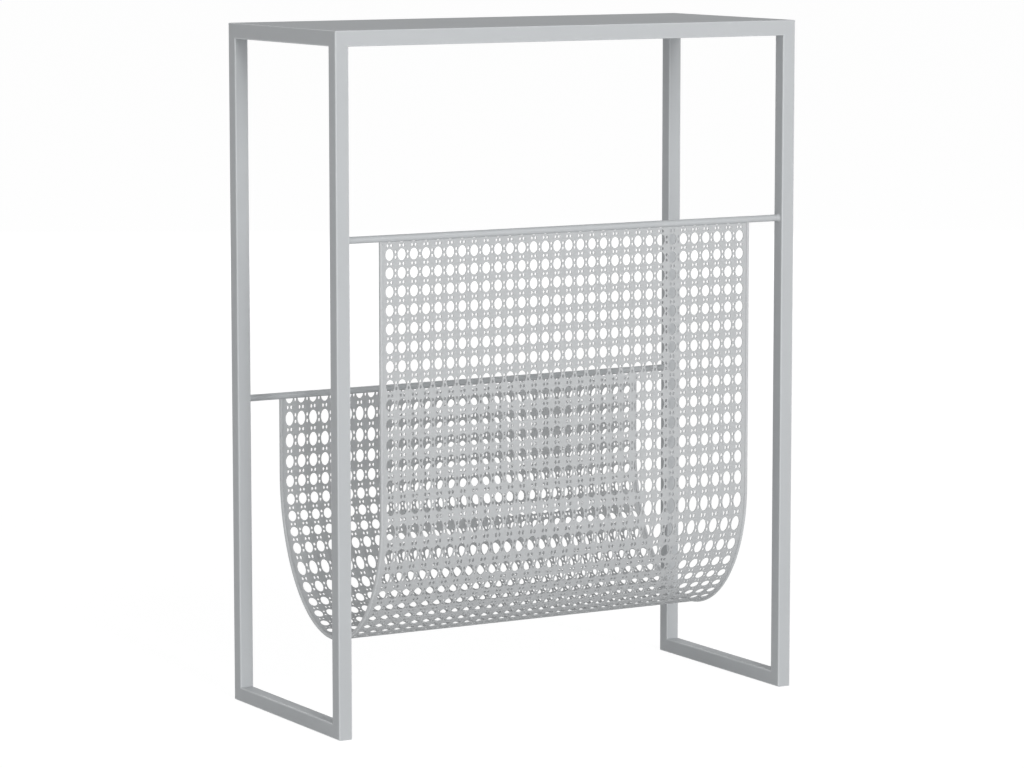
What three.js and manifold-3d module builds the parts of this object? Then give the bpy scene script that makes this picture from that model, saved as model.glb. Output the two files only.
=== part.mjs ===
// Magazine rack with a table top: two mitred side loops of square tube, a sheet top,
// and a perforated steel sling hung between a high front rod and a low rear rod.
// Millimetres. The origin is on the floor at the middle of the rack, +Z is up,
// +X runs along the rack and -Y is the front.

import * as THREE from 'three';
import { mergeGeometries, mergeVertices } from 'three/addons/utils/BufferGeometryUtils.js';
import Module from 'manifold-3d';

// Overall size
const WIDTH = 460;
const DEPTH = 200;
const HEIGHT = 600;

// Square tube of the frame
const TUBE = 12.7;
const TUBE_WALL = 1.2;
const TUBE_CORNER = 1.2;
const MITRE_GAP = 0.3;

// Table top, laid on the frame and flush with it
const TOP_THICKNESS = 0.8;
const TOP_CORNER = 1.2;

// Cross rods that carry the sling
const ROD_DIAMETER = 6;

// Sling: heights are those of the middle of the sheet
const SHEET = 1;
const SLING_SIDE_GAP = 31;
const TROUGH_HEIGHT = 68;
const TROUGH_SHIFT = -3.5;
const FRONT_BEND_RISE = 117;
const REAR_BEND_RISE = 132;
const FRONT_PANEL_HEIGHT = 236.5;
const REAR_PANEL_HEIGHT = 67;

// Wire along each side edge of the sling
const WIRE_DIAMETER = 3;
const WIRE_GAP = 0.3;

// Oval perforations of the sling
const COLUMN_PITCH = 22;
const ROW_PITCH = 27;
const HOLE_WIDTH = 14.5;
const HOLE_HEIGHT = 19;
const EDGE_BAND = 5;

// Facet counts of the round forms
const CORNER_FACETS = 2;
const ROD_SIDES = 12;
const WIRE_SIDES = 8;
const HOLE_HALF_SIDES = 3;

// Places worked out from the sizes above
const postX = (WIDTH - TUBE) / 2;
const postY = (DEPTH - TUBE) / 2;
const frameTop = HEIGHT - TOP_THICKNESS;
const clearWidth = WIDTH - 2 * TUBE;
const frontRodUnderside = TROUGH_HEIGHT + FRONT_BEND_RISE + FRONT_PANEL_HEIGHT;
const rearRodUnderside = TROUGH_HEIGHT + REAR_BEND_RISE + REAR_PANEL_HEIGHT;
const wireX = clearWidth / 2 - SLING_SIDE_GAP - WIRE_DIAMETER / 2;
const sheetWidth = 2 * (wireX - WIRE_DIAMETER / 2 - WIRE_GAP);

const wasm = await Module();
wasm.setup();

const rack = new THREE.Group();

function addPart(name, geometry) {
  const material = new THREE.MeshStandardMaterial({ color: 0xc3c5c6, roughness: 0.5, metalness: 0 });
  const mesh = new THREE.Mesh(geometry, material);
  mesh.name = name;
  rack.add(mesh);
  return mesh;
}

// Square outline with round corners, centred on the origin
function roundedRectangle(width, height, radius, path = new THREE.Shape()) {
  const x = width / 2 - radius;
  const y = height / 2 - radius;
  path.absarc(x, -y, radius, -Math.PI / 2, 0);
  path.absarc(x, y, radius, 0, Math.PI / 2);
  path.absarc(-x, y, radius, Math.PI / 2, Math.PI);
  path.absarc(-x, -y, radius, Math.PI, 1.5 * Math.PI);
  path.closePath();
  return path;
}

// Square tube along Z, centred on the origin
function straightTube(length) {
  const bore = TUBE - 2 * TUBE_WALL;
  const section = roundedRectangle(TUBE, TUBE, TUBE_CORNER);
  const boreCorner = Math.min(TUBE_CORNER, TUBE_WALL) / 2;
  section.holes.push(roundedRectangle(bore, bore, boreCorner, new THREE.Path()));
  const settings = { depth: length, steps: 1, bevelEnabled: false, curveSegments: CORNER_FACETS };
  return new THREE.ExtrudeGeometry(section, settings).translate(0, 0, -length / 2);
}

// Square tube along Z with both ends cut at 45 degrees, its short side towards +Y
function mitredTube(length) {
  const geometry = straightTube(length);
  const position = geometry.attributes.position;
  const cutBack = MITRE_GAP / Math.SQRT2;
  for (let i = 0; i < position.count; i += 1) {
    const inset = position.getY(i) + TUBE / 2 + cutBack;
    const end = Math.sign(position.getZ(i));
    position.setZ(i, position.getZ(i) - end * inset);
  }
  geometry.computeVertexNormals();
  return geometry;
}

// One side loop in the plane of its two posts
function addSideLoop(side, x) {
  for (const [face, turn, y] of [['front', 0, -postY], ['rear', Math.PI, postY]]) {
    const post = addPart(`${face}_${side}_post`, mitredTube(frameTop));
    post.rotation.z = turn;
    post.position.set(x, y, frameTop / 2);
  }
  for (const [level, turn, z] of [['floor', 1, TUBE / 2], ['top', -1, frameTop - TUBE / 2]]) {
    const rail = addPart(`${side}_${level}_rail`, mitredTube(DEPTH));
    rail.rotation.x = turn * Math.PI / 2;
    rail.position.set(x, 0, z);
  }
}

// Front and rear rails under the top, butted between the loops
function addTopRails() {
  for (const [face, y] of [['front', -postY], ['rear', postY]]) {
    const rail = addPart(`${face}_top_rail`, straightTube(clearWidth));
    rail.rotation.y = Math.PI / 2;
    rail.position.set(0, y, frameTop - TUBE / 2);
  }
}

function addTop() {
  const outline = roundedRectangle(WIDTH, DEPTH, TOP_CORNER);
  const settings = { depth: TOP_THICKNESS, bevelEnabled: false, curveSegments: CORNER_FACETS };
  const sheet = addPart('top_sheet', new THREE.ExtrudeGeometry(outline, settings));
  sheet.position.z = frameTop;
}

// Round bars between the posts, faceted with one flat facing down on the sling
function addRods() {
  const halfFacet = Math.PI / ROD_SIDES;
  const radius = ROD_DIAMETER / 2 / Math.cos(halfFacet);
  for (const [face, y, z] of [['front', -postY, frontRodUnderside], ['rear', postY, rearRodUnderside]]) {
    const bar = new THREE.CylinderGeometry(radius, radius, clearWidth, ROD_SIDES, 1, false, halfFacet);
    const rod = addPart(`${face}_rod`, bar);
    rod.rotation.z = Math.PI / 2;
    rod.position.set(0, y, z + ROD_DIAMETER / 2);
  }
}

// Side view of the sling from the front rod to the rear rod: a straight panel,
// two quarter ellipses that meet at the lowest line, and a shorter straight panel
class SlingCurve extends THREE.Curve {
  getPoint(t, target = new THREE.Vector3()) {
    const stretch = Math.min(Math.floor(4 * t), 3);
    const part = 4 * t - stretch;
    const turn = part * Math.PI / 2;
    const frontReach = postY + TROUGH_SHIFT;
    const rearReach = postY - TROUGH_SHIFT;
    if (stretch === 0) {
      return target.set(0, -postY, frontRodUnderside - part * FRONT_PANEL_HEIGHT);
    }
    if (stretch === 1) {
      const rise = FRONT_BEND_RISE * (1 - Math.sin(turn));
      return target.set(0, TROUGH_SHIFT - frontReach * Math.cos(turn), TROUGH_HEIGHT + rise);
    }
    if (stretch === 2) {
      const rise = REAR_BEND_RISE * (1 - Math.cos(turn));
      return target.set(0, TROUGH_SHIFT + rearReach * Math.sin(turn), TROUGH_HEIGHT + rise);
    }
    return target.set(0, postY, rearRodUnderside - (1 - part) * REAR_PANEL_HEIGHT);
  }
}

function toSolid(geometry) {
  geometry.deleteAttribute('normal');
  geometry.deleteAttribute('uv');
  const merged = mergeVertices(geometry);
  const vertProperties = new Float32Array(merged.attributes.position.array);
  const triVerts = new Uint32Array(merged.index.array);
  return new wasm.Manifold(new wasm.Mesh({ numProp: 3, vertProperties, triVerts }));
}

function toGeometry(solid) {
  const { vertProperties, triVerts } = solid.getMesh();
  const geometry = new THREE.BufferGeometry();
  geometry.setAttribute('position', new THREE.BufferAttribute(vertProperties, 3));
  geometry.setIndex(new THREE.BufferAttribute(triVerts, 1));
  const faceted = geometry.toNonIndexed();
  faceted.computeVertexNormals();
  return faceted;
}

// Bent sheet before it is pierced: the side view with its thickness, extruded along X
function plainSling(curve, bands) {
  const inner = [];
  const outer = [];
  for (let i = 0; i <= bands; i += 1) {
    const point = curve.getPointAt(i / bands);
    const tangent = curve.getTangentAt(i / bands);
    const normal = new THREE.Vector2(-tangent.z, tangent.y).multiplyScalar(SHEET / 2);
    inner.push(new THREE.Vector2(point.y, point.z).add(normal));
    outer.push(new THREE.Vector2(point.y, point.z).sub(normal));
  }
  const outline = new THREE.Shape([...outer, ...inner.reverse()]);
  const sheet = new THREE.ExtrudeGeometry(outline, { depth: sheetWidth, bevelEnabled: false });
  const alongX = new THREE.Matrix4().makeBasis(
    new THREE.Vector3(0, 1, 0), new THREE.Vector3(0, 0, 1), new THREE.Vector3(1, 0, 0));
  return sheet.applyMatrix4(alongX).translate(-sheetWidth / 2, 0, 0);
}

// Punches for all perforations: one row of ovals square to the middle of each band
function slingPunches(curve, bands) {
  const columns = Math.floor((sheetWidth - 2 * EDGE_BAND) / COLUMN_PITCH);
  const oval = new THREE.Shape().absellipse(0, 0, HOLE_WIDTH / 2, HOLE_HEIGHT / 2, 0, 2 * Math.PI);
  const depth = 4 * SHEET;
  const settings = { depth, bevelEnabled: false, curveSegments: HOLE_HALF_SIDES };
  const punch = new THREE.ExtrudeGeometry(oval, settings).translate(0, 0, -depth / 2);
  const xAxis = new THREE.Vector3(1, 0, 0);
  const punches = [];
  for (let row = 0; row < bands; row += 1) {
    const start = curve.getPointAt(row / bands);
    const end = curve.getPointAt((row + 1) / bands);
    const along = end.clone().sub(start).normalize();
    const place = new THREE.Matrix4().makeBasis(xAxis, along, xAxis.clone().cross(along));
    const middle = start.clone().add(end).divideScalar(2);
    for (let column = 0; column < columns; column += 1) {
      const x = (column - (columns - 1) / 2) * COLUMN_PITCH;
      punches.push(punch.clone().applyMatrix4(place.setPosition(x, middle.y, middle.z)));
    }
  }
  return mergeGeometries(punches);
}

function addSling() {
  const curve = new SlingCurve();
  curve.arcLengthDivisions = 2000;
  const bands = Math.round(curve.getLength() / ROW_PITCH);
  const sheet = toSolid(plainSling(curve, bands)).subtract(toSolid(slingPunches(curve, bands)));
  addPart('sling_sheet', toGeometry(sheet));

  const halfFacet = Math.PI / WIRE_SIDES;
  const radius = WIRE_DIAMETER / 2 / Math.cos(halfFacet);
  const section = new THREE.Shape();
  section.absarc(0, 0, radius, halfFacet, halfFacet + 2 * Math.PI);
  const settings = { steps: bands, extrudePath: curve, curveSegments: WIRE_SIDES / 2 };
  for (const [side, x] of [['left', -wireX], ['right', wireX]]) {
    const wire = addPart(`${side}_edge_wire`, new THREE.ExtrudeGeometry(section, settings));
    wire.position.x = x;
  }
}

addSideLoop('left', -postX);
addSideLoop('right', postX);
addTopRails();
addTop();
addRods();
addSling();

export default rack;
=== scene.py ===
"""Dresses a welded magazine rack: square-tube side loops, a sheet table top and a pierced sling.

Everything is in metres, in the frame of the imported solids: +Z up, -Y the front, origin on the floor.
"""

import logging
import math
from dataclasses import dataclass, field
from enum import Enum

import bmesh
import bpy
import numpy as np
from mathutils import Matrix, Vector


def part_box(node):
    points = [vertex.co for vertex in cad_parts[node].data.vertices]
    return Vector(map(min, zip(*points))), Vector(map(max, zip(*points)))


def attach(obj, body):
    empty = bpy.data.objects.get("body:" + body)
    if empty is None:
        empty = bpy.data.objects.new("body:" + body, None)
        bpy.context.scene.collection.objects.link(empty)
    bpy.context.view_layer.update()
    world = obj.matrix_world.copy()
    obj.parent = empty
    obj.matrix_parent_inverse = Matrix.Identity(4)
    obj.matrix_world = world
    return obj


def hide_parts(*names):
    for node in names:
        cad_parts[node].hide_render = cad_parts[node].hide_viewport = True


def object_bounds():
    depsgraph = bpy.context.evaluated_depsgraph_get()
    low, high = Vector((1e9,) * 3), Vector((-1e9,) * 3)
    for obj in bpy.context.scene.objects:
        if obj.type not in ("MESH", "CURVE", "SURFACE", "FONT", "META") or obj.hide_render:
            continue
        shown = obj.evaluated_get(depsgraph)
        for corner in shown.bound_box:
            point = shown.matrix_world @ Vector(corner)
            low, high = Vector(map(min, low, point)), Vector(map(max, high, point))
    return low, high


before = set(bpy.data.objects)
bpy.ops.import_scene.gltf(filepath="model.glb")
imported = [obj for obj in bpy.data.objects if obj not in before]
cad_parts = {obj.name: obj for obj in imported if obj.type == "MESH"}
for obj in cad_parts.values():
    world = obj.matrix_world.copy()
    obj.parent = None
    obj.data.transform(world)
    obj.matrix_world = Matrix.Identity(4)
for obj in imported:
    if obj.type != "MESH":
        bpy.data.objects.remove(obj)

CAD_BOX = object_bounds()
BODY = "root"
# Face attribute of the rounded edges: the coat paints them lighter, a painted highlight, and makes them
# smoother.
EDGE_MARK = "worn_edge"
TOUCHING = 1e-6
CREASE = math.radians(35)
TUBE_EDGE_RADIUS = 0.0011
TUBE_EDGE_STEPS = 5
LOG = logging.getLogger("rack")


class Cut(Enum):
    """How both ends of a tube are cut."""

    SQUARE = 0.0
    MITRE = 1.0


class Side(Enum):
    """Left and right of the rack, with the sign of their x."""

    LEFT = -1
    RIGHT = 1


class Tile(Enum):
    """Kinds of pattern tile along one row of the sling."""

    FIRST = 0
    MIDDLE = 1
    LAST = 2


@dataclass(frozen=True)
class PowderCoat:
    """Powder coat with a fine orange peel, smoother on its rounded edges, which also get a painted
    highlight.

    Attributes:
        name: Material name.
        colour: Linear base colour.
        roughness: Mean roughness of the skin.
        edge_roughness: Roughness where a mesh marks its faces as a rounded edge.
        painted_edge_highlight: Painted highlight: how much lighter a marked rounded edge is painted, as
            a share.
        gloss: Level of the mirror part.
        roughness_drift: How far the roughness wanders either way.
        roughness_waves: Waves of that drift, per metre.
        tone_drift: How far the colour wanders either way, as a share.
        tone_waves: Waves of that drift, per metre.
        peel_size: Width of one dimple of the peel, in metres.
        peel_depth: Depth of the peel, in metres.
    """

    name: str
    colour: tuple[float, float, float]
    roughness: float = 0.8
    edge_roughness: float = 0.3
    painted_edge_highlight: float = 0.13
    gloss: float = 0.5
    roughness_drift: float = 0.05
    roughness_waves: float = 90.0
    tone_drift: float = 0.025
    tone_waves: float = 14.0
    peel_size: float = 0.0011
    peel_depth: float = 0.000035

    def material(self) -> bpy.types.Material:
        """Makes the node material of this coat.

        Returns:
            The new material.
        """
        material = bpy.data.materials.new(self.name)
        material.use_nodes = True
        nodes = material.node_tree.nodes
        links = material.node_tree.links
        skin = nodes["Principled BSDF"]
        skin.inputs["Metallic"].default_value = 0.0
        skin.inputs["Specular IOR Level"].default_value = self.gloss
        place = nodes.new("ShaderNodeTexCoord")

        # Colour: slow clouds, with a painted highlight: marked rounded edges are painted lighter.
        clouds = self._noise(nodes, links, place, self.tone_waves, detail=3.0)
        tone = nodes.new("ShaderNodeMix")
        tone.data_type = "RGBA"
        tone.inputs["A"].default_value = self._shade(1.0 - self.tone_drift)
        tone.inputs["B"].default_value = self._shade(1.0 + self.tone_drift)
        links.new(clouds.outputs["Fac"], tone.inputs["Factor"])
        highlight_and_rub_mask = nodes.new("ShaderNodeAttribute")
        highlight_and_rub_mask.attribute_name = EDGE_MARK
        # Painted highlight: the marked rounded edges get a lighter base colour.
        painted_highlight = nodes.new("ShaderNodeMix")
        painted_highlight.data_type = "RGBA"
        painted_highlight.inputs["B"].default_value = self._shade(1.0 + self.painted_edge_highlight)
        links.new(highlight_and_rub_mask.outputs["Fac"], painted_highlight.inputs["Factor"])
        links.new(tone.outputs["Result"], painted_highlight.inputs["A"])
        links.new(painted_highlight.outputs["Result"], skin.inputs["Base Color"])

        # Roughness: finer clouds, smoother on the marked rounded edges.
        sheen = self._noise(nodes, links, place, self.roughness_waves)
        spread = nodes.new("ShaderNodeMapRange")
        spread.inputs["To Min"].default_value = self.roughness - self.roughness_drift
        spread.inputs["To Max"].default_value = self.roughness + self.roughness_drift
        links.new(sheen.outputs["Fac"], spread.inputs["Value"])
        rubbed = nodes.new("ShaderNodeMix")
        rubbed.inputs["B"].default_value = self.edge_roughness
        links.new(highlight_and_rub_mask.outputs["Fac"], rubbed.inputs["Factor"])
        links.new(spread.outputs["Result"], rubbed.inputs["A"])
        links.new(rubbed.outputs["Result"], skin.inputs["Roughness"])

        # Relief: the orange peel.
        peel = self._noise(nodes, links, place, 1.0 / self.peel_size)
        bump = nodes.new("ShaderNodeBump")
        bump.inputs["Strength"].default_value = 1.0
        bump.inputs["Distance"].default_value = self.peel_depth
        links.new(peel.outputs["Fac"], bump.inputs["Height"])
        links.new(bump.outputs["Normal"], skin.inputs["Normal"])
        return material

    def _shade(self, level: float) -> tuple[float, float, float, float]:
        """Gives the coat's colour at a level, as red, green, blue and alpha."""
        return (*(channel * level for channel in self.colour), 1.0)

    @staticmethod
    def _noise(
        nodes: bpy.types.Nodes,
        links: bpy.types.NodeLinks,
        place: bpy.types.Node,
        scale: float,
        detail: float = 2.0,
    ) -> bpy.types.Node:
        """Adds a noise texture on object coordinates.

        Args:
            nodes: Nodes of the material.
            links: Links of the material.
            place: Texture coordinate node.
            scale: Waves per metre.
            detail: Octaves of the noise.

        Returns:
            The noise node.
        """
        noise = nodes.new("ShaderNodeTexNoise")
        noise.inputs["Scale"].default_value = scale
        noise.inputs["Detail"].default_value = detail
        links.new(place.outputs["Object"], noise.inputs["Vector"])
        return noise


def lofted(build: bmesh.types.BMesh, rings: list[list[bmesh.types.BMVert]]) -> list[bmesh.types.BMFace]:
    """Joins rings of vertices with quads and closes both ends.

    Args:
        build: The bmesh to add to.
        rings: Rings with the same count of vertices, in order.

    Returns:
        The quads, ring by ring.
    """
    quads = []
    for lower, upper in zip(rings, rings[1:]):
        for i in range(len(lower)):
            j = (i + 1) % len(lower)
            quads.append(build.faces.new((lower[i], lower[j], upper[j], upper[i])))
    build.faces.new(rings[0])
    build.faces.new(rings[-1])
    return quads


def finished_mesh(name: str, build: bmesh.types.BMesh) -> bpy.types.Mesh:
    """Closes a bmesh: merges doubles, turns the faces out and makes it a mesh.

    Args:
        name: Name of the mesh.
        build: The bmesh, freed here.

    Returns:
        The new mesh.
    """
    bmesh.ops.remove_doubles(build, verts=build.verts, dist=TOUCHING)
    bmesh.ops.recalc_face_normals(build, faces=build.faces)
    mesh = bpy.data.meshes.new(name)
    build.to_mesh(mesh)
    build.free()
    return mesh


def shade_smooth(mesh: bpy.types.Mesh, crease: float) -> None:
    """Shades a mesh smooth but for its creases.

    Args:
        mesh: The mesh.
        crease: Angle above which an edge is sharp.
    """
    for polygon in mesh.polygons:
        polygon.use_smooth = True
    mesh.set_sharp_from_angle(angle=crease)


def smooth_piece(name: str, mesh: bpy.types.Mesh) -> bpy.types.Object:
    """Makes an object of a mesh, smooth but for its creases, with flat faces kept flat.

    Args:
        name: Name of the piece.
        mesh: Its mesh, in place.

    Returns:
        The new object, linked to the scene.
    """
    shade_smooth(mesh, CREASE)
    piece = bpy.data.objects.new(name, mesh)
    bpy.context.scene.collection.objects.link(piece)
    weighted = piece.modifiers.new("flat faces stay flat", "WEIGHTED_NORMAL")
    weighted.keep_sharp = True
    return applied(piece)


def applied(piece: bpy.types.Object) -> bpy.types.Object:
    """Turns a piece and its modifiers into a plain mesh.

    Args:
        piece: Object with live modifiers.

    Returns:
        The same object, with the evaluated mesh and no modifiers.
    """
    depsgraph = bpy.context.evaluated_depsgraph_get()
    mesh = bpy.data.meshes.new_from_object(piece.evaluated_get(depsgraph), depsgraph=depsgraph)
    piece.modifiers.clear()
    spent = piece.data
    piece.data = mesh
    mesh.name = piece.name
    bpy.data.meshes.remove(spent)
    return piece


def hand_over(piece: bpy.types.Object, coat: bpy.types.Material, slot: str, *nodes: str) -> None:
    """Coats a finished piece and hands it to the frame.

    Args:
        piece: Finished piece.
        coat: Its material.
        slot: Not used.
        nodes: CAD nodes that the piece stands for.
    """
    piece.data.materials.clear()
    piece.data.materials.append(coat)
    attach(piece, BODY)
    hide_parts(*nodes)
    LOG.info("%s: %d faces", piece.name, len(piece.data.polygons))


@dataclass(frozen=True)
class TubeRun:
    """One length of square tube.

    Attributes:
        node: CAD node that it stands for.
        start: Middle of its first end, on the loop's outer corner line.
        end: Middle of its other end.
        inward: Direction from the tube to the inside of its loop.
        cut: How its ends are cut.
        sharp_edge: Direction of the one edge that the top sheet covers, or None.
    """

    node: str
    start: Vector
    end: Vector
    inward: Vector
    cut: Cut
    sharp_edge: Vector | None = None


@dataclass
class TubeFrame:
    """Two mitred side loops joined by two rails under the table top.

    Attributes:
        corner: Radius of the tube's edges.
        corner_steps: Facets round one edge.
        same_corner: A corner's unit diagonal times the sum of two sides is past this, near the
            square root of 2, only for the corner between those sides.
    """

    corner: float = TUBE_EDGE_RADIUS
    corner_steps: int = TUBE_EDGE_STEPS
    same_corner: float = 1.3

    def runs(self) -> list[TubeRun]:
        """Works out every tube of the frame from the CAD boxes.

        Returns:
            The tubes, loop by loop, then the two top rails.
        """
        tubes: list[TubeRun] = []
        for side in Side:
            name = side.name.lower()
            low, high = self._loop_box(name)
            x = (low.x + high.x) / 2
            half = (high.x - low.x) / 2
            outer = Vector((side.value, 0, 0))
            for face, y, inward in (("front", low.y + half, 1), ("rear", high.y - half, -1)):
                start, end = Vector((x, y, low.z)), Vector((x, y, high.z))
                inner = Vector((0, inward, 0))
                tubes.append(TubeRun(f"{face}_{name}_post", start, end, inner, Cut.MITRE))
            for level, z, inward in (("floor", low.z + half, 1), ("top", high.z - half, -1)):
                edge = outer + Vector((0, 0, 1)) if level == "top" else None
                start, end = Vector((x, low.y, z)), Vector((x, high.y, z))
                inner = Vector((0, 0, inward))
                tubes.append(TubeRun(f"{name}_{level}_rail", start, end, inner, Cut.MITRE, edge))
        for face, out in (("front", -1), ("rear", 1)):
            low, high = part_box(f"{face}_top_rail")
            middle = (low + high) / 2
            weld = self.corner
            start = Vector((low.x - weld, middle.y, middle.z))
            end = Vector((high.x + weld, middle.y, middle.z))
            inner, edge = Vector((0, -out, 0)), Vector((0, out, 1))
            tubes.append(TubeRun(f"{face}_top_rail", start, end, inner, Cut.SQUARE, edge))
        return tubes

    def build(self, coat: bpy.types.Material) -> None:
        """Builds and dresses all the tubes.

        Args:
            coat: Material of the frame.
        """
        for run in self.runs():
            piece = smooth_piece(f"{run.node}_tube", self._tube_mesh(run))
            hand_over(piece, coat, "frame", run.node)

    def _loop_box(self, side: str) -> tuple[Vector, Vector]:
        """Gives the corners of one side loop, whose top is the underside of the top sheet."""
        rail_low, rail_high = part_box(f"{side}_floor_rail")
        low = Vector((rail_low.x, CAD_BOX[0].y, rail_low.z))
        high = Vector((rail_high.x, CAD_BOX[1].y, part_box("top_sheet")[0].z))
        return low, high

    def _tube_mesh(self, run: TubeRun) -> bpy.types.Mesh:
        """Sweeps the rounded square section along one tube.

        Args:
            run: The tube.

        Returns:
            A closed mesh, in place.
        """
        axis = (run.end - run.start).normalized()
        across = axis.cross(run.inward)
        low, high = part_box(run.node)
        side = min(high - low)
        offsets: list[Vector] = []
        for quarter in range(4):
            offsets += self._corner(quarter, side, run, across)
        build = bmesh.new()
        rings = []
        for end, sign in ((run.start, 1), (run.end, -1)):
            ring = []
            for offset in offsets:
                back = run.cut.value * (offset.dot(run.inward) + side / 2)
                ring.append(build.verts.new(end + offset + sign * back * axis))
            rings.append(ring)
        # Marks the rounded corners for the coat's painted highlight and lower roughness.
        mark = build.faces.layers.float.new(EDGE_MARK)
        for face, a, b in zip(lofted(build, rings), offsets, offsets[1:] + offsets[:1]):
            face[mark] = float((b - a).length < self.corner)
        return finished_mesh(run.node, build)

    def _corner(self, quarter: int, side: float, run: TubeRun, across: Vector) -> list[Vector]:
        """Gives the section's points round one corner.

        Args:
            quarter: Which corner, counted anticlockwise.
            side: Width of the tube.
            run: The tube.
            across: Direction square to the tube and to its inward side.

        Returns:
            Offsets from the tube's middle line.
        """
        diagonal = math.radians(45 + 90 * quarter)
        towards = math.cos(diagonal) * run.inward + math.sin(diagonal) * across
        sharp = run.sharp_edge is not None and towards.dot(run.sharp_edge) > self.same_corner
        radius = 0.0 if sharp else self.corner
        reach = (side / 2 - radius) * math.sqrt(2)
        centre = reach * towards
        if sharp:
            return [centre]
        points = []
        for step in range(self.corner_steps + 1):
            turn = math.radians(90 * (quarter + step / self.corner_steps))
            points.append(centre + radius * (math.cos(turn) * run.inward + math.sin(turn) * across))
        return points


@dataclass
class TopSheet:
    """Flat sheet welded on the frame, with its upper edge eased.

    Attributes:
        ease: Radius of the upper edge.
        ease_steps: Facets of the upper edge.
        corner: Radius of the sheet's corners, the same as the tube's edges.
        corner_steps: Facets of one corner.
    """

    ease: float = 0.0006
    ease_steps: int = 3
    corner: float = TUBE_EDGE_RADIUS
    corner_steps: int = TUBE_EDGE_STEPS

    def build(self, coat: bpy.types.Material) -> None:
        """Builds and dresses the table top.

        Args:
            coat: Material of the top.
        """
        low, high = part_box("top_sheet")
        build = bmesh.new()
        rings = [self._ring(build, low, high, 0.0, low.z)]
        for step in range(self.ease_steps + 1):
            turn = math.radians(90 * step / self.ease_steps)
            inset = self.ease * (1 - math.cos(turn))
            rings.append(self._ring(build, low, high, inset, high.z - self.ease * (1 - math.sin(turn))))
        # Marks the edge faces for the coat's painted highlight and lower roughness.
        mark = build.faces.layers.float.new(EDGE_MARK)
        for face in lofted(build, rings):
            face[mark] = 1.0
        piece = smooth_piece("top_sheet_plate", finished_mesh("top_sheet", build))
        hand_over(piece, coat, "top", "top_sheet")

    def _ring(
        self, build: bmesh.types.BMesh, low: Vector, high: Vector, inset: float, z: float
    ) -> list[bmesh.types.BMVert]:
        """Adds one ring of the sheet's outline.

        Args:
            build: The bmesh to add to.
            low: Lowest corner of the sheet.
            high: Highest corner of the sheet.
            inset: How far the ring is drawn in from the outline.
            z: Height of the ring.

        Returns:
            The ring's vertices, anticlockwise.
        """
        ring = []
        corners = ((high.x, low.y, -90), (high.x, high.y, 0), (low.x, high.y, 90), (low.x, low.y, 180))
        for x, y, first in corners:
            centre = Vector((x - math.copysign(self.corner, x), y - math.copysign(self.corner, y), z))
            for step in range(self.corner_steps + 1):
                turn = math.radians(first + 90 * step / self.corner_steps)
                spoke = Vector((math.cos(turn), math.sin(turn), 0))
                ring.append(build.verts.new(centre + (self.corner - inset) * spoke))
        return ring


@dataclass
class CrossRods:
    """Round bars between the posts, with a weld fillet at each end.

    Attributes:
        bead_reach: How far a fillet runs along the rod.
        bead_rise: How far it stands out of the rod at the post.
        bead_ripple: Height of the weld's ripples.
        bead_ripples: Ripples round the rod.
        bead_steps: Facets along a fillet.
        sides: Facets round the rod.
    """

    bead_reach: float = 0.0022
    bead_rise: float = 0.0012
    bead_ripple: float = 0.00015
    bead_ripples: int = 9
    bead_steps: int = 6
    sides: int = 36

    def build(self, coat: bpy.types.Material) -> None:
        """Builds and dresses both rods.

        Args:
            coat: Material of the rods.
        """
        for face in ("front", "rear"):
            node = f"{face}_rod"
            piece = smooth_piece(f"{node}_bar", self._rod_mesh(node))
            hand_over(piece, coat, "frame", node)

    def _rod_mesh(self, node: str) -> bpy.types.Mesh:
        """Turns the rod and its two fillets about the rod's axis.

        Args:
            node: CAD node of the rod.

        Returns:
            A closed mesh, in place.
        """
        low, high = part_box(node)
        middle = (low + high) / 2
        radius = (high.z - low.z) / 2
        half = (high.x - low.x) / 2
        stations = [(half - self.bead_reach * t, self.bead_rise * (1 - t) ** 2) for t in self._shares()]
        stations += [(-x, rise) for x, rise in reversed(stations)]
        build = bmesh.new()
        rings = []
        for x, rise in stations:
            ring = []
            for i in range(self.sides):
                turn = 2 * math.pi * i / self.sides
                ripple = self.bead_ripple * rise / self.bead_rise * math.cos(self.bead_ripples * turn)
                reach = radius + rise + ripple
                spoke = Vector((0, math.cos(turn), math.sin(turn)))
                ring.append(build.verts.new(middle + Vector((x, 0, 0)) + reach * spoke))
            rings.append(ring)
        lofted(build, rings)
        return finished_mesh(node, build)

    def _shares(self) -> list[float]:
        """Gives even steps from 0 to 1 along one fillet."""
        return [step / self.bead_steps for step in range(self.bead_steps + 1)]


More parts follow.
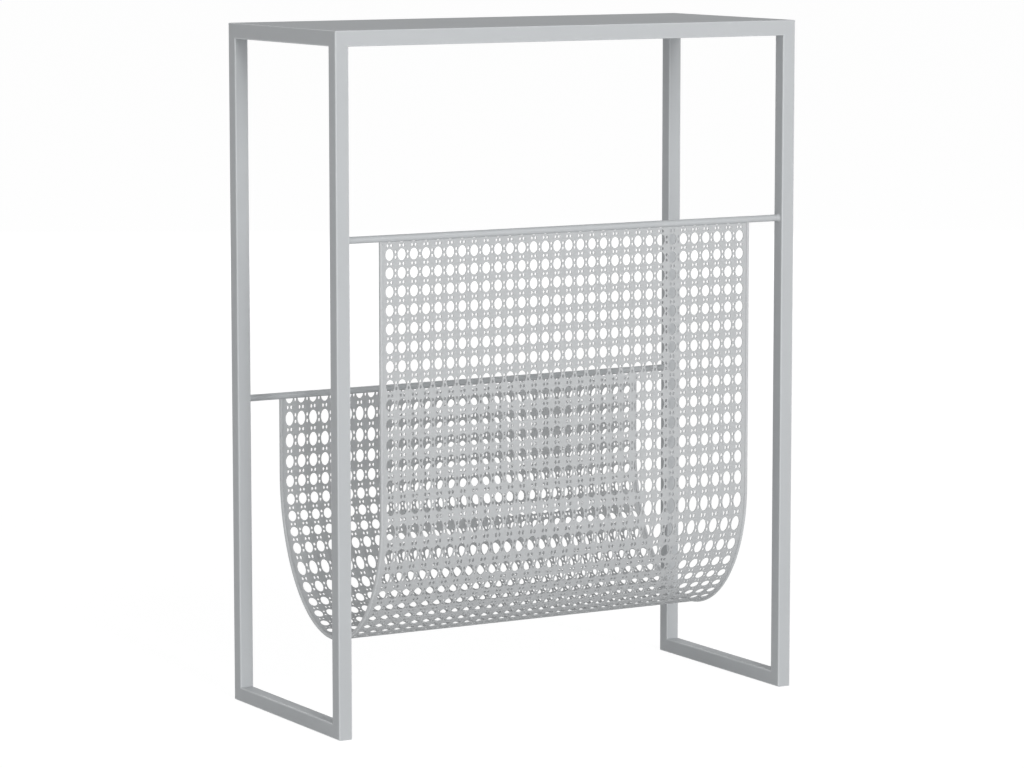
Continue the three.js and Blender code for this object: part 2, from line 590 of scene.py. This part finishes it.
@dataclass
class SlingPath:
    """Side view of the sling, from the front rod's axis to the rear rod's axis.

    A straight front panel runs into two quarter ellipses that meet at the lowest line,
    and a short straight panel runs up to the rear rod.

    Attributes:
        trough_shift: How far the lowest line lies behind the middle of the rack.
        front_bend_rise: Height of the front quarter ellipse.
        rear_bend_rise: Height of the rear one.
        sheet: Thickness of the sheet.
        samples: Points on each quarter ellipse.
    """

    trough_shift: float = -0.0035
    front_bend_rise: float = 0.117
    rear_bend_rise: float = 0.132
    sheet: float = 0.0008
    samples: int = 400

    def __post_init__(self) -> None:
        """Samples the path densely and measures its length."""
        front = self._axis("front_rod")
        rear = self._axis("rear_rod")
        trough = Vector((0, self.trough_shift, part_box("sling_sheet")[0].z + self.sheet / 2))
        turn = np.linspace(0, math.pi / 2, self.samples)
        front_bend = np.stack([
            trough.y - (trough.y - front.y) * np.cos(turn),
            trough.z + self.front_bend_rise * (1 - np.sin(turn)),
        ], axis=1)
        rear_bend = np.stack([
            trough.y + (rear.y - trough.y) * np.sin(turn),
            trough.z + self.rear_bend_rise * (1 - np.cos(turn)),
        ], axis=1)
        first, last = [[front.y, front.z]], [[rear.y, rear.z]]
        self.points = np.concatenate([first, front_bend, rear_bend[1:], last])
        steps = np.linalg.norm(np.diff(self.points, axis=0), axis=1)
        self.lengths = np.concatenate([[0.0], np.cumsum(steps)])

    @property
    def length(self) -> float:
        """Length along the sheet from rod axis to rod axis."""
        return float(self.lengths[-1])

    def at(self, lengths: np.ndarray) -> np.ndarray:
        """Finds points on the path, going straight on past its ends.

        Args:
            lengths: Distances along the sheet from the front rod's axis.

        Returns:
            One (y, z) row for each distance.
        """
        y = np.interp(lengths, self.lengths, self.points[:, 0])
        z = np.interp(lengths, self.lengths, self.points[:, 1])
        z = z + np.maximum(-lengths, 0) + np.maximum(lengths - self.length, 0)
        return np.stack([y, z], axis=1)

    @staticmethod
    def _axis(node: str) -> Vector:
        """Gives the middle of a rod."""
        low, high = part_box(node)
        return (low + high) / 2


@dataclass
class CanePattern:
    """Openings of the pierced sheet: large ovals, with pairs of small ones between them.

    Heights are shares of a row's pitch, because the pattern is drawn out where the
    sheet was worked and closed up in the trough. Widths are in metres.

    Attributes:
        columns: Large ovals in a row.
        column_pitch: Distance from one to the next.
        oval_half_width: Half the width of a large oval.
        oval_half_height: Half its height.
        oval_sides: Its sides.
        eyelet_half_width: Half the width of a small opening.
        eyelet_half_height: Half its height.
        eyelet_sides: Its sides.
        stacked_offset: From the row's middle to each of the two eyelets between large ovals.
        beside_offset: From the column's middle to each of the two eyelets between rows.
        tile_above: From a tile's start to the middle of its large oval.
        tile_right: From the middle of the large oval to the tile's right border.
    """

    columns: int = 31
    column_pitch: float = 0.01175
    oval_half_width: float = 0.0041
    oval_half_height: float = 0.325
    oval_sides: int = 12
    eyelet_half_width: float = 0.00115
    eyelet_half_height: float = 0.1
    eyelet_sides: int = 5
    stacked_offset: float = 0.145
    beside_offset: float = 0.0017
    tile_above: float = 0.364
    tile_right: float = 0.0072

    def tile(self, kind: Tile, half_width: float) -> bpy.types.Object:
        """Makes one flat tile of the pattern, one pitch wide and one unit high.

        Args:
            kind: Where in its row the tile goes.
            half_width: Half the width of the whole sheet.

        Returns:
            A helper object, centred on its large oval in x and starting at y = 0.
        """
        border = half_width - self.column_pitch * (self.columns - 1) / 2
        left = -border if kind is Tile.FIRST else self.tile_right - self.column_pitch
        right = border if kind is Tile.LAST else self.tile_right
        loops = [[(left, 0.0), (right, 0.0), (right, 1.0), (left, 1.0)]]
        loops.append(self._oval(0.0, self.tile_above, self.oval_half_width, self.oval_half_height,
                                self.oval_sides, math.pi / self.oval_sides))
        between_columns = self.column_pitch / 2
        between_rows = self.tile_above + 0.5
        for sign in (-1, 1):
            if kind is not Tile.LAST:
                tip = math.radians(-90 * sign)
                stacked = self.tile_above + sign * self.stacked_offset
                loops.append(self._eyelet(between_columns, stacked, tip))
            tip = 0.0 if sign < 0 else math.pi
            loops.append(self._eyelet(sign * self.beside_offset, between_rows, tip))
        build = bmesh.new()
        edges = []
        for loop in loops:
            corners = [build.verts.new((x, y, 0.0)) for x, y in loop]
            edges += [build.edges.new(pair) for pair in zip(corners, corners[1:] + corners[:1])]
        bmesh.ops.triangle_fill(build, use_beauty=True, edges=edges, normal=(0, 0, 1))
        bmesh.ops.recalc_face_normals(build, faces=build.faces)
        mesh = bpy.data.meshes.new(f"tile_{kind.name.lower()}")
        build.to_mesh(mesh)
        build.free()
        helper = bpy.data.objects.new(mesh.name, mesh)
        bpy.context.scene.collection.objects.link(helper)
        return helper

    def _eyelet(self, x: float, y: float, tip: float) -> list[tuple[float, float]]:
        """Gives a small opening, with its tip turned towards its twin."""
        return self._oval(x, y, self.eyelet_half_width, self.eyelet_half_height, self.eyelet_sides, tip)

    @staticmethod
    def _oval(
        x: float, y: float, half_width: float, half_height: float, sides: int, first: float
    ) -> list[tuple[float, float]]:
        """Gives the corners of a many-sided oval.

        Args:
            x: Middle, across the row.
            y: Middle, along the sheet.
            half_width: Half its width.
            half_height: Half its height.
            sides: How many sides.
            first: Angle of the first corner.

        Returns:
            Corners in order.
        """
        turns = [first + 2 * math.pi * i / sides for i in range(sides)]
        return [(x + half_width * math.cos(turn), y + half_height * math.sin(turn)) for turn in turns]


class PatternNodes:
    """Geometry node tree that lays the tiles on marks and bends the sheet along a path."""

    TILE_INPUTS = {Tile.FIRST: "First tile", Tile.MIDDLE: "Middle tile", Tile.LAST: "Last tile"}

    def __init__(self) -> None:
        """Builds the tree."""
        self.tree = bpy.data.node_groups.new("pierced_sheet", "GeometryNodeTree")
        self._sockets: dict[str, str] = {}
        self._declare("Marks", "NodeSocketGeometry")
        for label in self.TILE_INPUTS.values():
            self._declare(label, "NodeSocketObject")
        self._declare("Path", "NodeSocketObject")
        self._declare("Merge distance", "NodeSocketFloat")
        self._declare("Coat", "NodeSocketMaterial")
        self.tree.interface.new_socket("Sheet", in_out="OUTPUT", socket_type="NodeSocketGeometry")
        self.source = self.tree.nodes.new("NodeGroupInput")
        self._wire()

    def dress(self, marks: bpy.types.Object, values: dict[str, object]) -> None:
        """Puts the tree on an object as a modifier.

        Args:
            marks: Object whose vertices are the tiles' places.
            values: Value of each named input.
        """
        modifier = marks.modifiers.new("pierced sheet", "NODES")
        modifier.node_group = self.tree
        for label, value in values.items():
            modifier[self._sockets[label]] = value

    def _declare(self, label: str, kind: str) -> None:
        """Adds a named input to the tree and keeps its identifier."""
        socket = self.tree.interface.new_socket(label, in_out="INPUT", socket_type=kind)
        self._sockets[label] = socket.identifier

    def _node(self, kind: str, **settings: object) -> bpy.types.Node:
        """Adds a node with some of its properties set."""
        node = self.tree.nodes.new(kind)
        for key, value in settings.items():
            setattr(node, key, value)
        return node

    def _wire(self) -> None:
        """Joins the nodes: tiles on marks, realised, merged, bent and coated."""
        link = self.tree.links.new
        height = self._node("GeometryNodeInputNamedAttribute", data_type="FLOAT")
        height.inputs["Name"].default_value = "row_height"
        stretch = self._node("ShaderNodeCombineXYZ")
        stretch.inputs["X"].default_value = 1.0
        stretch.inputs["Z"].default_value = 1.0
        link(height.outputs["Attribute"], stretch.inputs["Y"])
        kind = self._node("GeometryNodeInputNamedAttribute", data_type="INT")
        kind.inputs["Name"].default_value = "tile_kind"

        # Each kind of tile goes on its own marks.
        joined = self._node("GeometryNodeJoinGeometry")
        for tile, label in self.TILE_INPUTS.items():
            picked = self._node("FunctionNodeCompare", data_type="INT", operation="EQUAL")
            picked.inputs[3].default_value = tile.value
            link(kind.outputs["Attribute"], picked.inputs[2])
            info = self._node("GeometryNodeObjectInfo")
            link(self.source.outputs[label], info.inputs["Object"])
            laid = self._node("GeometryNodeInstanceOnPoints")
            link(self.source.outputs["Marks"], laid.inputs["Points"])
            link(picked.outputs["Result"], laid.inputs["Selection"])
            link(info.outputs["Geometry"], laid.inputs["Instance"])
            link(stretch.outputs["Vector"], laid.inputs["Scale"])
            link(laid.outputs["Instances"], joined.inputs["Geometry"])

        realised = self._node("GeometryNodeRealizeInstances")
        link(joined.outputs["Geometry"], realised.inputs["Geometry"])
        merged = self._node("GeometryNodeMergeByDistance")
        link(realised.outputs["Geometry"], merged.inputs["Geometry"])
        link(self.source.outputs["Merge distance"], merged.inputs["Distance"])

        # The flat sheet's second axis becomes the distance along the path.
        path = self._node("GeometryNodeObjectInfo")
        link(self.source.outputs["Path"], path.inputs["Object"])
        flat = self._node("ShaderNodeSeparateXYZ")
        link(self._node("GeometryNodeInputPosition").outputs["Position"], flat.inputs["Vector"])
        followed = self._node("GeometryNodeSampleCurve", mode="LENGTH", use_all_curves=False)
        link(path.outputs["Geometry"], followed.inputs["Curves"])
        link(flat.outputs["Y"], followed.inputs["Length"])
        bent = self._node("ShaderNodeSeparateXYZ")
        link(followed.outputs["Position"], bent.inputs["Vector"])
        place = self._node("ShaderNodeCombineXYZ")
        link(flat.outputs["X"], place.inputs["X"])
        link(bent.outputs["Y"], place.inputs["Y"])
        link(bent.outputs["Z"], place.inputs["Z"])
        moved = self._node("GeometryNodeSetPosition")
        link(merged.outputs["Geometry"], moved.inputs["Geometry"])
        link(place.outputs["Vector"], moved.inputs["Position"])

        coated = self._node("GeometryNodeSetMaterial")
        link(moved.outputs["Geometry"], coated.inputs["Geometry"])
        link(self.source.outputs["Coat"], coated.inputs["Material"])
        link(coated.outputs["Geometry"], self._node("NodeGroupOutput").inputs["Sheet"])


@dataclass
class Sling:
    """Pierced sheet bent to a U between the rods, with a wire along each side edge.

    Attributes:
        path: Side view of the sheet.
        pattern: Openings of the sheet.
        rows: Rows of large ovals from the first to the last, which the rods partly hide.
        row_pitches: Pitch of the rows at some distances along the sheet, as shares of one another.
        row_samples: Points at which the rows are counted.
        first_row_rise: How far the first row lies above the front rod's axis.
        last_row_drop: How far the last row lies below the rear rod's axis.
        hidden_edge: How far below a rod's axis the sheet and the wires end, inside the rod.
        path_lead: Straight run past each rod, to be trimmed off.
        merge_distance: Corners of tiles closer than this are joined.
        cut_snap: Vertices closer than this to a trimming plane lie on it.
        crease: Angle above which an edge of the sheet is sharp.
        wire_sides: Facets round a wire.
        wire_steps: Rings along a wire.
    """

    path: SlingPath = field(default_factory=SlingPath)
    pattern: CanePattern = field(default_factory=CanePattern)
    rows: int = 41
    row_pitches: tuple[tuple[float, float], ...] = (
        (0.000, 0.0153), (0.110, 0.0159), (0.220, 0.0180), (0.264, 0.0229),
        (0.337, 0.0123), (0.388, 0.0112), (0.465, 0.0140), (0.500, 0.0216),
        (0.528, 0.0130), (0.610, 0.0191), (0.657, 0.0202),
    )
    row_samples: int = 4000
    first_row_rise: float = 0.0015
    last_row_drop: float = 0.0009
    hidden_edge: float = 0.0012
    path_lead: float = 0.02
    merge_distance: float = 1e-5
    cut_snap: float = 1e-7
    crease: float = math.radians(40)
    wire_sides: int = 12
    wire_steps: int = 150

    def build(self, coat: bpy.types.Material, wire_coat: bpy.types.Material) -> None:
        """Builds and dresses the sheet and its wires.

        Args:
            coat: Material of the sheet.
            wire_coat: Material of the wires.
        """
        sheet = self._sheet(coat)
        hand_over(sheet, coat, "sling", "sling_sheet")
        for side in Side:
            node = f"{side.name.lower()}_edge_wire"
            wire = smooth_piece(f"{node}_rim", self._wire_mesh(node))
            hand_over(wire, wire_coat, "sling", node)

    def row_lengths(self, row_places: np.ndarray) -> np.ndarray:
        """Finds how far along the sheet each place in the pattern lies.

        Args:
            row_places: Places counted in rows, 0 at the first one and whole at the large ovals.

        Returns:
            Distances along the sheet.
        """
        stations, pitches = np.array(self.row_pitches).T
        lengths = np.linspace(-self.path_lead, self.path.length + self.path_lead, self.row_samples)
        density = 1.0 / np.interp(lengths, stations, pitches)
        counted = np.concatenate([[0.0], np.cumsum((density[1:] + density[:-1]) / 2 * np.diff(lengths))])
        # The count starts at the first row and is scaled so that the last row falls in its place.
        counted -= np.interp(-self.first_row_rise, lengths, counted)
        counted *= self.rows / np.interp(self.path.length - self.last_row_drop, lengths, counted)
        return np.interp(row_places, counted, lengths)

    def _sheet(self, coat: bpy.types.Material) -> bpy.types.Object:
        """Pierces, bends and trims the sheet, and gives it its thickness.

        Args:
            coat: Material of the sling.

        Returns:
            The finished piece.
        """
        half_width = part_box("right_edge_wire")[0].x
        tiles = {kind: self.pattern.tile(kind, half_width) for kind in Tile}
        guide = self._guide()
        marks = self._marks()
        values: dict[str, object] = {"Path": guide, "Merge distance": self.merge_distance, "Coat": coat}
        for kind, tile in tiles.items():
            values[PatternNodes.TILE_INPUTS[kind]] = tile
        PatternNodes().dress(marks, values)
        sheet = applied(marks)
        for helper in (*tiles.values(), guide):
            bpy.data.objects.remove(helper)
        self._trim(sheet.data)
        thick = sheet.modifiers.new("thickness", "SOLIDIFY")
        thick.thickness = self.path.sheet
        thick.offset = 0.0
        thick.use_even_offset = True
        applied(sheet)
        shade_smooth(sheet.data, self.crease)
        return sheet

    def _marks(self) -> bpy.types.Object:
        """Makes the tiles' places on the flat sheet, with each row's height.

        Returns:
            An object of loose vertices in the plane of x and the distance along the sheet.
        """
        columns = self.pattern.columns
        borders = self.row_lengths(np.arange(self.rows + 2) - self.pattern.tile_above) + self.path_lead
        places, heights, kinds = [], [], []
        for row in range(self.rows + 1):
            for column in range(columns):
                x = (column - (columns - 1) / 2) * self.pattern.column_pitch
                places.append((x, borders[row], 0.0))
                heights.append(borders[row + 1] - borders[row])
                kinds.append(self._kind(column).value)
        mesh = bpy.data.meshes.new("sling_sheet")
        mesh.from_pydata(places, [], [])
        mesh.attributes.new("row_height", "FLOAT", "POINT").data.foreach_set("value", heights)
        mesh.attributes.new("tile_kind", "INT", "POINT").data.foreach_set("value", kinds)
        marks = bpy.data.objects.new("sling_sheet_pierced", mesh)
        bpy.context.scene.collection.objects.link(marks)
        return marks

    def _kind(self, column: int) -> Tile:
        """Tells which kind of tile a column takes."""
        if column == 0:
            return Tile.FIRST
        return Tile.LAST if column == self.pattern.columns - 1 else Tile.MIDDLE

    def _guide(self) -> bpy.types.Object:
        """Makes the path as a curve, with a straight lead past each rod.

        Returns:
            A helper object.
        """
        lengths = np.linspace(-self.path_lead, self.path.length + self.path_lead, 2 * self.path.samples)
        curve = bpy.data.curves.new("sling_path", "CURVE")
        curve.dimensions = "3D"
        spline = curve.splines.new("POLY")
        spline.points.add(len(lengths) - 1)
        for point, (y, z) in zip(spline.points, self.path.at(lengths)):
            point.co = (0.0, y, z, 1.0)
        guide = bpy.data.objects.new("sling_path", curve)
        bpy.context.scene.collection.objects.link(guide)
        return guide

    def _trim(self, mesh: bpy.types.Mesh) -> None:
        """Cuts the sheet off inside each rod.

        Args:
            mesh: Bent sheet, without thickness.
        """
        build = bmesh.new()
        build.from_mesh(mesh)
        for node, side in (("front_rod", -1), ("rear_rod", 1)):
            low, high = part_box(node)
            level = (low.z + high.z) / 2 - self.hidden_edge
            near = [face for face in build.faces if face.calc_center_median().y * side > 0]
            parts = set(near) | {e for f in near for e in f.edges} | {v for f in near for v in f.verts}
            bmesh.ops.bisect_plane(build, geom=list(parts), dist=self.cut_snap, plane_co=(0, 0, level),
                                   plane_no=(0, 0, 1), clear_outer=True)
        build.to_mesh(mesh)
        build.free()

    def _wire_mesh(self, node: str) -> bpy.types.Mesh:
        """Sweeps a round wire along the path, from inside one rod to inside the other.

        Args:
            node: CAD node of the wire.

        Returns:
            A closed mesh, in place.
        """
        low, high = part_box(node)
        x = (low.x + high.x) / 2
        radius = (high.x - low.x) / 2
        lengths = np.linspace(self.hidden_edge, self.path.length - self.hidden_edge, self.wire_steps)
        centres = self.path.at(lengths)
        tangents = np.gradient(centres, axis=0)
        tangents /= np.linalg.norm(tangents, axis=1, keepdims=True)
        build = bmesh.new()
        rings = []
        for (y, z), (ty, tz) in zip(centres, tangents):
            ring = []
            for i in range(self.wire_sides):
                turn = 2 * math.pi * i / self.wire_sides
                out, along = radius * math.cos(turn), radius * math.sin(turn)
                ring.append(build.verts.new((x + out, y - along * tz, z + along * ty)))
            rings.append(ring)
        lofted(build, rings)
        return finished_mesh(node, build)


@dataclass(frozen=True)
class SoftBox:
    """One soft lamp of the studio.

    Attributes:
        name: Name of the lamp.
        place: Where it hangs.
        size: Its width and height.
        power: Watts.
    """

    name: str
    place: tuple[float, float, float]
    size: tuple[float, float]
    power: float

    def hang(self) -> None:
        """Hangs the lamp so that it faces the rack's middle."""
        light = bpy.data.lights.new(self.name, "AREA")
        light.shape = "RECTANGLE"
        light.size, light.size_y = self.size
        light.energy = self.power
        lamp = bpy.data.objects.new(self.name, light)
        lamp.location = self.place
        middle = (CAD_BOX[0] + CAD_BOX[1]) / 2
        lamp.rotation_euler = (middle - lamp.location).to_track_quat("-Z", "Y").to_euler()
        lamp.visible_camera = False
        bpy.context.scene.collection.objects.link(lamp)


@dataclass
class Studio:
    """White floor, soft lamps and the camera.

    Attributes:
        camera_place: Where the camera stands.
        camera_turn: Degrees about the upright axis, from looking along +Y.
        camera_pitch: Degrees up from level.
        camera_roll: Degrees about the line of sight.
        focal_pixels: Focal length in pixels of the picture.
        image_width: Width of the picture in pixels.
        sensor: Width of the sensor in millimetres.
        ambient: Strength of the sky for the light that falls on the rack.
        floor_size: Half the width of the floor.
        floor_glow: Strength of the floor's own light where it is looked at.
        floor_glow_share: Share of that light, against the floor's lit colour with its shadow.
        floor_colour: Lit colour of the floor.
        lamps: Two tall strips in front, a weak fill on the left and a weak lamp behind.
    """

    camera_place: tuple[float, float, float] = (-1.7769, -3.047, 0.7349)
    camera_turn: float = -30.2163
    camera_pitch: float = -7.3664
    camera_roll: float = -0.0256
    focal_pixels: float = 4003.7
    image_width: int = 1024
    sensor: float = 36.0
    ambient: float = 0.37
    floor_size: float = 40.0
    floor_glow: float = 1.15
    floor_glow_share: float = 0.8
    floor_colour: tuple[float, float, float, float] = (0.9, 0.9, 0.9, 1.0)
    lamps: tuple[SoftBox, ...] = (
        SoftBox("key_left", (-0.72, -4.95, 1.9), (0.55, 2.9), 71.0),
        SoftBox("key_right", (0.72, -4.95, 1.9), (0.55, 2.9), 71.0),
        SoftBox("fill", (-5.0, -0.6, 0.9), (2.0, 1.4), 23.0),
        SoftBox("back", (2.2, 3.9, 0.9), (2.6, 0.9), 25.0),
    )

    def build(self) -> None:
        """Sets the stage, the lamps and the camera."""
        bpy.context.scene.view_settings.view_transform = "Standard"
        self._world()
        self._floor()
        for lamp in self.lamps:
            lamp.hang()
        self._camera()

    def _world(self) -> None:
        """Makes an even sky that the camera and reflections see as white."""
        world = bpy.data.worlds.new("studio")
        bpy.context.scene.world = world
        world.use_nodes = True
        nodes, links = world.node_tree.nodes, world.node_tree.links
        seen = self._seen(nodes, links)
        level = nodes.new("ShaderNodeMapRange")
        level.inputs["To Min"].default_value = self.ambient
        level.inputs["To Max"].default_value = 1.0
        links.new(seen, level.inputs["Value"])
        sky = nodes["Background"]
        sky.inputs["Color"].default_value = (1.0, 1.0, 1.0, 1.0)
        links.new(level.outputs["Result"], sky.inputs["Strength"])

    @staticmethod
    def _seen(nodes: bpy.types.Nodes, links: bpy.types.NodeLinks) -> bpy.types.NodeSocket:
        """Adds nodes that give 1 to camera, glossy and transmission rays.

        Args:
            nodes: Nodes of the world or material.
            links: Its links.

        Returns:
            The socket that holds the answer.
        """
        light = nodes.new("ShaderNodeLightPath")
        answer = light.outputs["Is Camera Ray"]
        for kind in ("Is Glossy Ray", "Is Transmission Ray"):
            either = nodes.new("ShaderNodeMath")
            either.operation = "MAXIMUM"
            links.new(answer, either.inputs[0])
            links.new(light.outputs[kind], either.inputs[1])
            answer = either.outputs[0]
        return answer

    def _floor(self) -> None:
        """Makes a floor that looks white and keeps a soft shadow."""
        build = bmesh.new()
        bmesh.ops.create_grid(build, x_segments=1, y_segments=1, size=self.floor_size)
        mesh = bpy.data.meshes.new("floor")
        build.to_mesh(mesh)
        build.free()
        floor = bpy.data.objects.new("floor", mesh)
        bpy.context.scene.collection.objects.link(floor)
        material = bpy.data.materials.new("floor_white")
        material.use_nodes = True
        nodes, links = material.node_tree.nodes, material.node_tree.links
        nodes.remove(nodes["Principled BSDF"])
        matt = nodes.new("ShaderNodeBsdfDiffuse")
        matt.inputs["Color"].default_value = self.floor_colour
        glow = nodes.new("ShaderNodeEmission")
        glow.inputs["Strength"].default_value = self.floor_glow
        share = nodes.new("ShaderNodeMath")
        share.operation = "MULTIPLY"
        share.inputs[1].default_value = self.floor_glow_share
        links.new(self._seen(nodes, links), share.inputs[0])
        both = nodes.new("ShaderNodeMixShader")
        links.new(share.outputs[0], both.inputs["Fac"])
        links.new(matt.outputs[0], both.inputs[1])
        links.new(glow.outputs[0], both.inputs[2])
        links.new(both.outputs[0], nodes["Material Output"].inputs["Surface"])
        mesh.materials.append(material)

    def _camera(self) -> None:
        """Places the camera in front of the rack, to its left."""
        data = bpy.data.cameras.new("camera")
        data.sensor_width = self.sensor
        data.lens = self.focal_pixels * self.sensor / self.image_width
        camera = bpy.data.objects.new("camera", data)
        turn = Matrix.Rotation(math.radians(self.camera_turn), 4, "Z")
        pitch = Matrix.Rotation(math.radians(90 + self.camera_pitch), 4, "X")
        roll = Matrix.Rotation(math.radians(self.camera_roll), 4, "Z")
        camera.matrix_world = Matrix.Translation(self.camera_place) @ turn @ pitch @ roll
        bpy.context.scene.collection.objects.link(camera)
        bpy.context.scene.camera = camera


def main() -> None:
    """Builds the stage and every sub-assembly, in order."""
    logging.basicConfig(level=logging.INFO, format="%(name)s: %(message)s")
    grey = (0.535, 0.553, 0.567)
    sling_grey = (0.535, 0.548, 0.557)
    # Painted highlight: the wires' grey is painted lighter than the sling's grey.
    highlit_wire_grey = (0.578, 0.592, 0.602)
    Studio().build()
    TubeFrame().build(PowderCoat("coat_frame", grey).material())
    TopSheet().build(PowderCoat("coat_top", grey, roughness=0.9, gloss=0.2, peel_size=0.0014).material())
    CrossRods().build(PowderCoat("coat_rods", grey, roughness=0.4, peel_size=0.0008).material())
    Sling().build(PowderCoat("coat_sling", sling_grey, peel_size=0.0008).material(),
                  PowderCoat("coat_wire", highlit_wire_grey, roughness=0.28, peel_size=0.0006).material())


if __name__ == "__main__":
    main()
